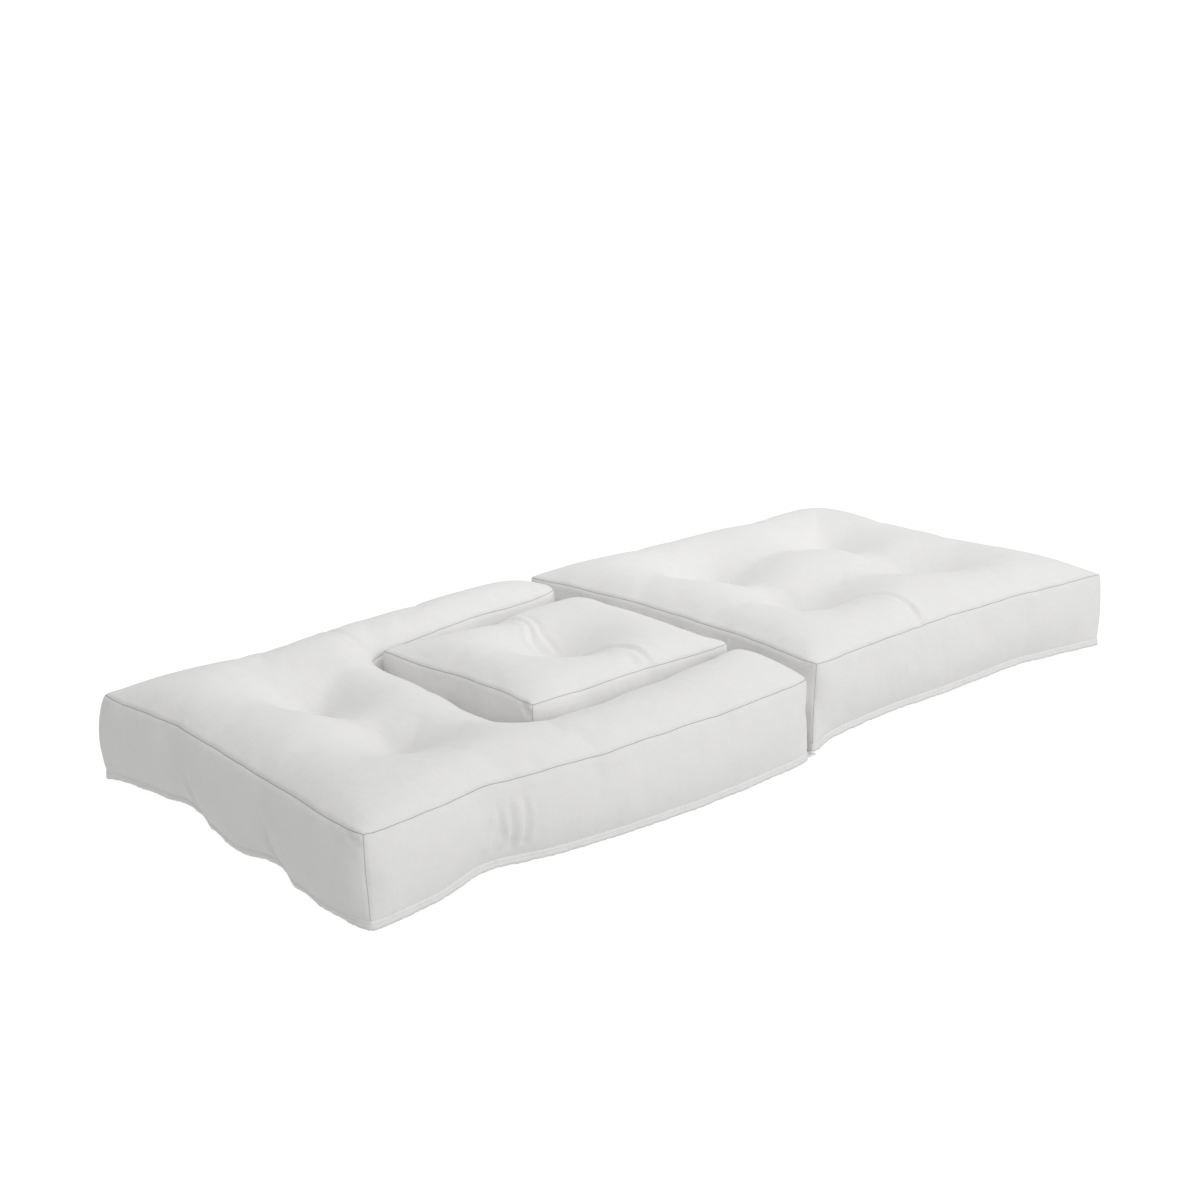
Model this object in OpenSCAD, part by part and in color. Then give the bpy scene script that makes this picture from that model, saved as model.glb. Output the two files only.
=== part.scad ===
// Three-part folding futon mattress, lying open as a bed.
// A U-shaped back section holds a loose seat cushion between its arms, and a square base section
// is joined to the arm tips by two fabric strips, so that it folds flat underneath.
// Each section is a boxed cover over cotton felt and a foam core, drawn in by through tufts.

/* [Bed] */
// Width across the bed, seam to seam
bed_w = 750; // [720:10:800]
// Length of the U-shaped section, from its closed end to the arm tips
back_l = 909; // [860:1:960]
// Length of the square section
base_l = 845; // [800:1:900]
// Gap between the two sections, where they fold
fold_gap = 26; // [24:1:34]
// Height of the U-shaped section's top seam above the floor
back_seam_h = 153; // [148:1:165]
// Height of the square section's top seam above the floor
base_seam_h = 162; // [155:1:170]
// Height of the seat cushion's top seam above the floor
seat_seam_h = 168; // [160:1:172]

/* [Recess and seat cushion] */
// Depth of the recess, from the arm tips to its end wall
recess_l = 487; // [460:1:520]
// Width of the recess between the two arms
recess_w = 416; // [400:1:440]
// Length of the seat cushion
seat_l = 453; // [430:1:455]
// Width of the seat cushion
seat_w = 396; // [370:1:396]
// How far the cushion's outer edge lies behind the arm tips
seat_setback = 5; // [2:1:8]

/* [Crown] */
// Rise of the U-shaped section's top above its seam
back_rise = 20; // [12:1:24]
// Rise of each arm's top above its seam
arm_rise = 16; // [10:1:20]
// Rise of the square section's top above its seam
base_rise = 22; // [14:1:28]
// Rise of the seat cushion's top above its seam
seat_rise = 16; // [10:1:20]

/* [Cover and filling] */
// Thickness of the cover cloth
cloth_t = 2; // [1.5:0.5:3]
// Space left between the cover and the filling
ease = 0.5; // [0.3:0.1:1]
// Height at which the upper felt layer begins
upper_felt_z = 98; // [90:1:100]
// Height at which the lower felt layer ends
lower_felt_z = 36; // [34:1:42]
// How far the top seam's ridge stands out
ridge_out = 1.5; // [1:0.5:2.5]
// Height of the top seam's ridge
ridge_h = 3; // [2:0.5:4]
// How far the closing seam's flange stands out
flange_out = 3; // [2:0.5:4]
// Height of the closing seam's flange
flange_h = 13; // [8:1:16]

/* [Tufts] */
// Distance of each tuft from the ends of its section
tuft_inset = 250; // [230:5:270]
// Distance between two tufts across the bed
tuft_pitch = 234; // [200:2:260]
// Radius of a tuft's felt pad
pad_r = 13; // [10:1:16]
// Thickness of a tuft's felt pad
pad_t = 4; // [3:0.5:6]
// Depth of an upper dimple's floor below the top seam
dimple_depth = 40; // [30:1:44]
// Height of the dimple's roof over a lower pad
dimple_roof = 20; // [14:1:24]
// Radius of an upper dimple at its rim
dimple_rim_r = 78; // [60:1:90]
// Radius of a lower dimple at its rim
lower_rim_r = 52; // [40:1:60]
// Radius of the twine that ties two pads together
twine_r = 1.2; // [1:0.1:1.6]

/* [Hidden] */

// The length runs along X, centred on the origin, and the floor is at z = 0
half_w = bed_w / 2;
back_x0 = -(back_l + fold_gap + base_l) / 2;
back_x1 = back_x0 + back_l;
base_x0 = back_x1 + fold_gap;
base_x1 = base_x0 + base_l;
fold_x = back_x1 + fold_gap / 2;
recess_x = back_x1 - recess_l;
arm_y = recess_w / 2;
arm_w = half_w - arm_y;
seat_x1 = back_x1 - seat_setback;
seat_x0 = seat_x1 - seat_l;
seat_y = seat_w / 2;

// Footprints as [x0, x1, y0, y1]
WIDE = [back_x0, recess_x, -half_w, half_w];
BASE = [base_x0, base_x1, -half_w, half_w];
SEAT = [seat_x0, seat_x1, -seat_y, seat_y];

// Tuft places as [x, y]
BACK_TUFTS = [for (side = [-1, 1]) [back_x0 + tuft_inset, side * tuft_pitch / 2]];
BASE_TUFTS = [for (x = [base_x0 + tuft_inset, base_x1 - tuft_inset], side = [-1, 1])
    [x, side * tuft_pitch / 2]];
SEAT_TUFTS = [[(seat_x0 + seat_x1) / 2, 0]];

// The panel's edge turns down past the seam, the arms' crown starts inside the wide part,
// and the twine holes are wider than the twine
panel_lip = 1.5;
arm_root = 70;
hole_r = twine_r + 0.6;
fill_d = cloth_t + ease;
top_z = 200;
cone_h = 70;
hinge_gap = 0.4;
CURVE_FN = 256;
ROUND_FN = 64;

COVER = [0.91, 0.91, 0.90];
SEAM = [0.82, 0.82, 0.81];
FELT = [0.95, 0.93, 0.86];
FOAM = [0.96, 0.89, 0.62];
TUFT = [0.88, 0.87, 0.84];
TWINE = [0.75, 0.70, 0.60];

function arch_r(span, rise) = (span * span / 4 + rise * rise) / (2 * rise);

// The space under a shallow arch over y, running along X, inset by d
module arch_over_y(box, seam_h, rise, d) {
    r = arch_r(box[3] - box[2], rise);
    translate([box[0] - 1, (box[2] + box[3]) / 2, seam_h + rise - r])
        rotate([0, 90, 0])
            cylinder(r = r - d, h = box[1] - box[0] + 2, $fn = CURVE_FN);
}

// The space under a shallow arch over x, running along Y, inset by d
module arch_over_x(box, seam_h, rise, d) {
    r = arch_r(box[1] - box[0], rise);
    translate([(box[0] + box[1]) / 2, box[3] + 1, seam_h + rise - r])
        rotate([90, 0, 0])
            cylinder(r = r - d, h = box[3] - box[2] + 2, $fn = CURVE_FN);
}

// A box over a footprint, inset by d at its sides and foot
module block(box, d) {
    translate([box[0] + d, box[2] + d, d])
        cube([box[1] - box[0] - 2 * d, box[3] - box[2] - 2 * d, top_z]);
}

// A crowned cushion over a rectangular footprint, inset all round by d
module crowned(box, seam_h, rise, d) {
    intersection() {
        block(box, d);
        arch_over_y(box, seam_h, rise, d);
        arch_over_x(box, seam_h, rise, d);
    }
}

// One arm of the U, crowned across its width, with side = -1 near and 1 far
module arm(side, d) {
    mid = side * (arm_y + half_w) / 2;
    foot = [recess_x - arm_root, back_x1, mid - arm_w / 2, mid + arm_w / 2];
    intersection() {
        block(foot, d);
        arch_over_y(foot, back_seam_h, arm_rise, d);
        arch_over_x([back_x0, back_x1, -half_w, half_w], back_seam_h, back_rise, d);
    }
}

// The funnels that the tufts pull into the top and the underside, grown by d
module upper_dimples(tufts, seam_h, d) {
    for (t = tufts)
        translate([t[0], t[1], seam_h - dimple_depth - d])
            cylinder(r1 = pad_r + 2 + d, r2 = dimple_rim_r + d, h = cone_h, $fn = ROUND_FN);
}

module lower_dimples(tufts, d) {
    for (t = tufts)
        translate([t[0], t[1], d - 1])
            cylinder(r1 = lower_rim_r + d, r2 = pad_r + 2 + d, h = dimple_roof + 1, $fn = ROUND_FN);
}

module twine_holes(tufts) {
    for (t = tufts)
        translate([t[0], t[1], -1])
            cylinder(r = hole_r, h = top_z, $fn = ROUND_FN);
}

// The whole outer form of each section, inset by d
module back_form(d) {
    difference() {
        union() {
            crowned(WIDE, back_seam_h, back_rise, d);
            arm(-1, d);
            arm(1, d);
        }
        upper_dimples(BACK_TUFTS, back_seam_h, d);
        lower_dimples(BACK_TUFTS, d);
    }
}

module base_form(d) {
    difference() {
        crowned(BASE, base_seam_h, base_rise, d);
        upper_dimples(BASE_TUFTS, base_seam_h, d);
        lower_dimples(BASE_TUFTS, d);
    }
}

module seat_form(d) {
    difference() {
        crowned(SEAT, seat_seam_h, seat_rise, d);
        upper_dimples(SEAT_TUFTS, seat_seam_h, d);
        lower_dimples(SEAT_TUFTS, d);
    }
}

// Everything between two heights
module level(z0, z1) {
    translate([-top_z - base_x1, -bed_w, z0])
        cube([2 * (base_x1 + top_z), 2 * bed_w, z1 - z0]);
}

// The part of a cover that is its top panel: above the seam, and down into the dimples
module top_zone(tufts, seam_h) {
    level(seam_h - panel_lip, top_z);
    for (t = tufts)
        translate([t[0], t[1], seam_h - dimple_depth - cloth_t])
            cylinder(r = dimple_rim_r, h = dimple_depth + cloth_t, $fn = ROUND_FN);
}

// A flat panel over an outline, drawn up round its tufts, with the outline as the child
module bottom_panel(tufts) {
    difference() {
        union() {
            linear_extrude(height = cloth_t)
                children();
            intersection() {
                lower_dimples(tufts, cloth_t);
                level(0, top_z);
            }
        }
        lower_dimples(tufts, 0);
        twine_holes(tufts);
    }
}

// A band that stands out from an outline; child 0 is the outer outline and child 1 the inner
module band(z0, h) {
    translate([0, 0, z0])
        linear_extrude(height = h)
            difference() {
                children(0);
                children(1);
            }
}

// A flat outline over a footprint, grown by d
module outline(box, d) {
    translate([box[0] - d, box[2] - d])
        square([box[1] - box[0] + 2 * d, box[3] - box[2] + 2 * d]);
}

// The U's outline, grown by d
module back_outline(d) {
    difference() {
        outline([back_x0, back_x1, -half_w, half_w], d);
        translate([recess_x + d, -arm_y + d])
            square([recess_l + 10, recess_w - 2 * d]);
    }
}

// A boxing strip over a footprint, between the bottom panel and the top panel
module strip(x0, x1, y0, y1, seam_h) {
    color(COVER)
        translate([x0, y0, cloth_t])
            cube([x1 - x0, y1 - y0, seam_h - panel_lip - cloth_t]);
}

// The strips round a rectangular section: the two ends run the full width between them
module end_strip(box, x, seam_h) {
    strip(x, x + cloth_t, box[2], box[3], seam_h);
}

module side_strip(box, y, seam_h) {
    strip(box[0] + cloth_t, box[1] - cloth_t, y, y + cloth_t, seam_h);
}

module felt_pads(tufts, z) {
    color(TUFT)
        for (t = tufts)
            translate([t[0], t[1], z])
                cylinder(r = pad_r, h = pad_t, $fn = ROUND_FN);
}

module twines(tufts, seam_h) {
    color(TWINE)
        for (t = tufts)
            translate([t[0], t[1], dimple_roof])
                cylinder(r = twine_r, h = seam_h - dimple_depth - dimple_roof, $fn = ROUND_FN);
}

// ---- U-shaped back section ----

module back_top_panel() {
    color(COVER)
        difference() {
            intersection() {
                back_form(0);
                top_zone(BACK_TUFTS, back_seam_h);
            }
            back_form(cloth_t);
            twine_holes(BACK_TUFTS);
        }
}

module back_bottom_panel() {
    color(COVER)
        bottom_panel(BACK_TUFTS)
            back_outline(0);
}

module back_boxing_end() {
    end_strip(WIDE, back_x0, back_seam_h);
}

// The long sides run from the closed end to the arm tips
module back_boxing_side(y) {
    strip(back_x0 + cloth_t, back_x1 - cloth_t, y, y + cloth_t, back_seam_h);
}

module back_boxing_near() {
    back_boxing_side(-half_w);
}

module back_boxing_far() {
    back_boxing_side(half_w - cloth_t);
}

module back_boxing_near_tip() {
    strip(back_x1 - cloth_t, back_x1, -half_w, -arm_y, back_seam_h);
}

module back_boxing_far_tip() {
    strip(back_x1 - cloth_t, back_x1, arm_y, half_w, back_seam_h);
}

// The arms' inner walls run from the recess's end wall to the tips
module back_boxing_near_arm() {
    strip(recess_x, back_x1 - cloth_t, -arm_y - cloth_t, -arm_y, back_seam_h);
}

module back_boxing_far_arm() {
    strip(recess_x, back_x1 - cloth_t, arm_y, arm_y + cloth_t, back_seam_h);
}

module back_boxing_recess() {
    strip(recess_x - cloth_t, recess_x, -arm_y - cloth_t, arm_y + cloth_t, back_seam_h);
}

module back_top_seam() {
    color(SEAM)
        band(back_seam_h - panel_lip - ridge_h / 2, ridge_h) {
            back_outline(ridge_out);
            back_outline(0);
        }
}

module back_bottom_seam() {
    color(SEAM)
        band(cloth_t, flange_h) {
            back_outline(flange_out);
            back_outline(0);
        }
}

module back_filling(z0, z1) {
    difference() {
        intersection() {
            back_form(fill_d);
            level(z0, z1);
        }
        twine_holes(BACK_TUFTS);
    }
}

module back_upper_felt() {
    color(FELT)
        back_filling(upper_felt_z, top_z);
}

module back_foam_core() {
    color(FOAM)
        back_filling(lower_felt_z, upper_felt_z - ease);
}

module back_lower_felt() {
    color(FELT)
        back_filling(0, lower_felt_z - ease);
}

module back_top_tufts() {
    felt_pads(BACK_TUFTS, back_seam_h - dimple_depth);
}

module back_bottom_tufts() {
    felt_pads(BACK_TUFTS, dimple_roof - pad_t);
}

module back_tuft_twines() {
    twines(BACK_TUFTS, back_seam_h);
}

// ---- Square base section ----

module base_top_panel() {
    color(COVER)
        difference() {
            intersection() {
                base_form(0);
                top_zone(BASE_TUFTS, base_seam_h);
            }
            base_form(cloth_t);
            twine_holes(BASE_TUFTS);
        }
}

module base_bottom_panel() {
    color(COVER)
        bottom_panel(BASE_TUFTS)
            outline(BASE, 0);
}

module base_boxing_inner() {
    end_strip(BASE, base_x0, base_seam_h);
}

module base_boxing_outer() {
    end_strip(BASE, base_x1 - cloth_t, base_seam_h);
}

module base_boxing_near() {
    side_strip(BASE, -half_w, base_seam_h);
}

module base_boxing_far() {
    side_strip(BASE, half_w - cloth_t, base_seam_h);
}

module base_top_seam() {
    color(SEAM)
        band(base_seam_h - panel_lip - ridge_h / 2, ridge_h) {
            outline(BASE, ridge_out);
            outline(BASE, 0);
        }
}

module base_bottom_seam() {
    color(SEAM)
        band(cloth_t, flange_h) {
            outline(BASE, flange_out);
            outline(BASE, 0);
        }
}

module base_filling(z0, z1) {
    difference() {
        intersection() {
            base_form(fill_d);
            level(z0, z1);
        }
        twine_holes(BASE_TUFTS);
    }
}

module base_upper_felt() {
    color(FELT)
        base_filling(upper_felt_z, top_z);
}

module base_foam_core() {
    color(FOAM)
        base_filling(lower_felt_z, upper_felt_z - ease);
}

module base_lower_felt() {
    color(FELT)
        base_filling(0, lower_felt_z - ease);
}

module base_top_tufts() {
    felt_pads(BASE_TUFTS, base_seam_h - dimple_depth);
}

module base_bottom_tufts() {
    felt_pads(BASE_TUFTS, dimple_roof - pad_t);
}

module base_tuft_twines() {
    twines(BASE_TUFTS, base_seam_h);
}

// ---- Loose seat cushion ----

module seat_top_panel() {
    color(COVER)
        difference() {
            intersection() {
                seat_form(0);
                top_zone(SEAT_TUFTS, seat_seam_h);
            }
            seat_form(cloth_t);
            twine_holes(SEAT_TUFTS);
        }
}

module seat_bottom_panel() {
    color(COVER)
        bottom_panel(SEAT_TUFTS)
            outline(SEAT, 0);
}

module seat_boxing_inner() {
    end_strip(SEAT, seat_x0, seat_seam_h);
}

module seat_boxing_outer() {
    end_strip(SEAT, seat_x1 - cloth_t, seat_seam_h);
}

module seat_boxing_near() {
    side_strip(SEAT, -seat_y, seat_seam_h);
}

module seat_boxing_far() {
    side_strip(SEAT, seat_y - cloth_t, seat_seam_h);
}

module seat_top_seam() {
    color(SEAM)
        band(seat_seam_h - panel_lip - ridge_h / 2, ridge_h) {
            outline(SEAT, ridge_out);
            outline(SEAT, 0);
        }
}

module seat_bottom_seam() {
    color(SEAM)
        band(cloth_t, flange_h) {
            outline(SEAT, flange_out);
            outline(SEAT, 0);
        }
}

module seat_filling(z0, z1) {
    difference() {
        intersection() {
            seat_form(fill_d);
            level(z0, z1);
        }
        twine_holes(SEAT_TUFTS);
    }
}

module seat_upper_felt() {
    color(FELT)
        seat_filling(upper_felt_z, top_z);
}

module seat_foam_core() {
    color(FOAM)
        seat_filling(lower_felt_z, upper_felt_z - ease);
}

module seat_lower_felt() {
    color(FELT)
        seat_filling(0, lower_felt_z - ease);
}

module seat_top_tufts() {
    felt_pads(SEAT_TUFTS, seat_seam_h - dimple_depth);
}

module seat_bottom_tufts() {
    felt_pads(SEAT_TUFTS, dimple_roof - pad_t);
}

module seat_tuft_twines() {
    twines(SEAT_TUFTS, seat_seam_h);
}

// ---- Fabric strips that join each arm tip to the base section ----

// Half of a strip on the floor side, from a bottom panel's edge to the fold line
module hinge_half(x0, x1, side) {
    color(COVER)
        translate([x0, side * (arm_y + half_w) / 2 - arm_w / 2, 0])
            cube([x1 - x0, arm_w, cloth_t]);
}

module hinge_near_back_half() {
    hinge_half(back_x1, fold_x - hinge_gap, -1);
}

module hinge_near_base_half() {
    hinge_half(fold_x + hinge_gap, base_x0, -1);
}

module hinge_far_back_half() {
    hinge_half(back_x1, fold_x - hinge_gap, 1);
}

module hinge_far_base_half() {
    hinge_half(fold_x + hinge_gap, base_x0, 1);
}

back_top_panel();
back_bottom_panel();
back_boxing_end();
back_boxing_near();
back_boxing_far();
back_boxing_near_tip();
back_boxing_far_tip();
back_boxing_near_arm();
back_boxing_far_arm();
back_boxing_recess();
back_top_seam();
back_bottom_seam();
back_upper_felt();
back_foam_core();
back_lower_felt();
back_top_tufts();
back_bottom_tufts();
back_tuft_twines();
base_top_panel();
base_bottom_panel();
base_boxing_inner();
base_boxing_outer();
base_boxing_near();
base_boxing_far();
base_top_seam();
base_bottom_seam();
base_upper_felt();
base_foam_core();
base_lower_felt();
base_top_tufts();
base_bottom_tufts();
base_tuft_twines();
seat_top_panel();
seat_bottom_panel();
seat_boxing_inner();
seat_boxing_outer();
seat_boxing_near();
seat_boxing_far();
seat_top_seam();
seat_bottom_seam();
seat_upper_felt();
seat_foam_core();
seat_lower_felt();
seat_top_tufts();
seat_bottom_tufts();
seat_tuft_twines();
hinge_near_back_half();
hinge_near_base_half();
hinge_far_back_half();
hinge_far_base_half();
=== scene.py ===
"""The looks of the folding futon mattress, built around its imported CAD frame."""

import math

import bpy
import numpy as np
from mathutils import Matrix, Vector


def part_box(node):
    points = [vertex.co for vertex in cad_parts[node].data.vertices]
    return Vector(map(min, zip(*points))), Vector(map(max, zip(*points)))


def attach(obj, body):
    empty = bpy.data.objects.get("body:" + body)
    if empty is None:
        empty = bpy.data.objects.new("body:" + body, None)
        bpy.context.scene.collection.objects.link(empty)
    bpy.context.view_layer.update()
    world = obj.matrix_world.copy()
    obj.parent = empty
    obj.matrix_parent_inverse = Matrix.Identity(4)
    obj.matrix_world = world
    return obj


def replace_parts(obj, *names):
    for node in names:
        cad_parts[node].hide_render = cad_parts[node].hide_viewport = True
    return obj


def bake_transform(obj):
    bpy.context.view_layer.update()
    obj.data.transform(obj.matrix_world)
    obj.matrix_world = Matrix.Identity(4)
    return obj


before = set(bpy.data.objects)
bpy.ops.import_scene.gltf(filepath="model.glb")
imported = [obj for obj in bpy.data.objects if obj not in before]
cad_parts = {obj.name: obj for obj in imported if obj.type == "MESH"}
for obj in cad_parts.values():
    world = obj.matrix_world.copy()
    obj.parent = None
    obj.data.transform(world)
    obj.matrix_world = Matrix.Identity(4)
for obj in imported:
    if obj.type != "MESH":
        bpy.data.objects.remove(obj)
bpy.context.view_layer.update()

MM = 0.001

# ---------------------------------------------------------------- sizes of the cloth work
MESH_STEP = 9 * MM  # spacing of the cover's grid before it is subdivided
BOXING_ROWS = 17  # rows of faces between the top seam and the closing seam
FILL_REACH = 56 * MM  # how far a seam or a tuft pulls the filling down around it
FLOOR_GAP = 0.4 * MM  # the lowest point of a cover
FLANGE_H = 13.5 * MM  # the closing seam's flange, which hangs from it
FLANGE_T = 2.0 * MM
SEAM_DEPTH = 2.0 * MM  # how far the top seam sinks into the cover
SEAM_LIP = 2.0 * MM  # half the width of that groove
THREAD_R = 0.5 * MM
PAD_R = 13 * MM  # the felt pads of the tufts
STRIP_SEWN = 3 * MM  # how much of a hinge strip is sewn under each rim
STRIP_INSET = 2 * MM  # how far a hinge strip stops short of its CAD strip at each end

# ---------------------------------------------------------------- the cloth simulation
DRAPE_FRAMES = 20
DRAPE_CAP = 12 * MM  # the furthest that a point of a cover may move
DRAPE_WRINKLES = 0.3  # how much of the small wrinkles stays


# ---------------------------------------------------------------- small tools
def curve_through(knots, t):
    """Values at t along rows of (place, value, value, ...), on a smooth curve that overshoots no row."""
    table = np.array(knots, float)
    place, values = table[:, 0], table[:, 1:]
    step = np.diff(place)[:, None]
    slope = np.diff(values, axis=0) / step
    same_way = slope[:-1] * slope[1:] > 0
    total = np.where(same_way, slope[:-1] + slope[1:], 1.0)
    inner = np.where(same_way, 2 * slope[:-1] * slope[1:] / total, 0.0)
    tangent = np.vstack([slope[:1] * 0.6, inner, slope[-1:] * 0.6])
    k = np.clip(np.searchsorted(place, t, side="right") - 1, 0, len(place) - 2)
    h = step[k]
    u = ((t - place[k]) / step[k, 0])[:, None]
    return (
        values[k] * (1 + 2 * u) * (1 - u) ** 2
        + tangent[k] * h * u * (1 - u) ** 2
        + values[k + 1] * u**2 * (3 - 2 * u)
        + tangent[k + 1] * h * u**2 * (u - 1)
    )


def smoothstep(x):
    x = np.clip(x, 0, 1)
    return x * x * (3 - 2 * x)


def grid_lines(*stops):
    """Lines about MESH_STEP apart, with a line on each stop."""
    lines = [stops[0]]
    for a, b in zip(stops, stops[1:]):
        count = max(1, round((b - a) / MESH_STEP))
        lines.extend(a + (b - a) * k / count for k in range(1, count + 1))
    return np.array(lines)


def settle(field, free, pull=0.0, rest=0.0, rounds=420, speed=1.86):
    """Each free grid node goes to the mean of its four neighbours, and pull draws it towards rest."""
    field = field.copy()
    red = np.indices(field.shape).sum(0) % 2 == 0
    rest = np.broadcast_to(rest, field.shape)
    for _ in range(rounds):
        for colour in (red, ~red):
            around = np.zeros_like(field)
            around[1:-1, 1:-1] = (
                field[2:, 1:-1] + field[:-2, 1:-1] + field[1:-1, 2:] + field[1:-1, :-2]
            )
            goal = (around + pull * rest) / (4 + pull)
            turn = free & colour
            field[turn] += speed * (goal[turn] - field[turn])
    return field


def wobble(points, scale, seed):
    """Smooth noise between about -1 and 1, from a few sine waves in set directions."""
    draw = np.random.default_rng(seed)
    total = np.zeros(len(points))
    for octave in range(3):
        for _ in range(4):
            heading = draw.normal(size=3)
            heading /= np.linalg.norm(heading)
            phase = draw.uniform(0, 2 * math.pi)
            size = scale / (1.9**octave) * draw.uniform(0.8, 1.25)
            total += np.sin(points @ heading * 2 * math.pi / size + phase) / (
                1.7**octave
            )
    return total / 4.2


# ---------------------------------------------------------------- the three sections
# Each section is an outline walked anticlockwise, seen from above, from its near left corner.
# A corner has: the top seam's height, how far the corner is rounded off in plan (reach, cut),
# and how far the corner moves (top x, top y, low x, low y).
# A side has rows of: share of the way along, top seam out, top seam up, closing seam out, closing seam up.
# All of that is in millimetres.
def corner(top, reach=34, cut=5, move=(0, 0, 0, 0), bulge=3):
    return {"top": top, "reach": reach, "cut": cut, "move": move, "bulge": bulge}


def side(bulge, *rows, tuck=0):
    return {
        "bulge": bulge,
        "rows": [(0, 0, 0, 0, 0), *rows, (1, 0, 0, 0, 0)],
        "tuck": tuck,
    }


back_low, back_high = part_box("back_bottom_panel")
base_low, base_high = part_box("base_bottom_panel")
seat_low, seat_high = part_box("seat_bottom_panel")
recess_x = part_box("back_boxing_recess")[1].x
arm_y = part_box("back_boxing_far_arm")[0].y


def tuft_places(section):
    """The tufts' centres, read from the CAD pads, which are alike and stand on a grid."""
    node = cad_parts[section + "_top_tufts"]
    points = np.array([v.co for v in node.data.vertices])
    low, high = points.min(0), points.max(0)
    if section == "seat":
        return [((low[0] + high[0]) / 2, (low[1] + high[1]) / 2)]
    pad = PAD_R
    ys = (low[1] + pad, high[1] - pad)
    xs = (low[0] + pad, high[0] - pad)
    if high[0] - low[0] < 3 * pad:
        xs = ((low[0] + high[0]) / 2,)
    return [(x, y) for x in xs for y in ys]


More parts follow.
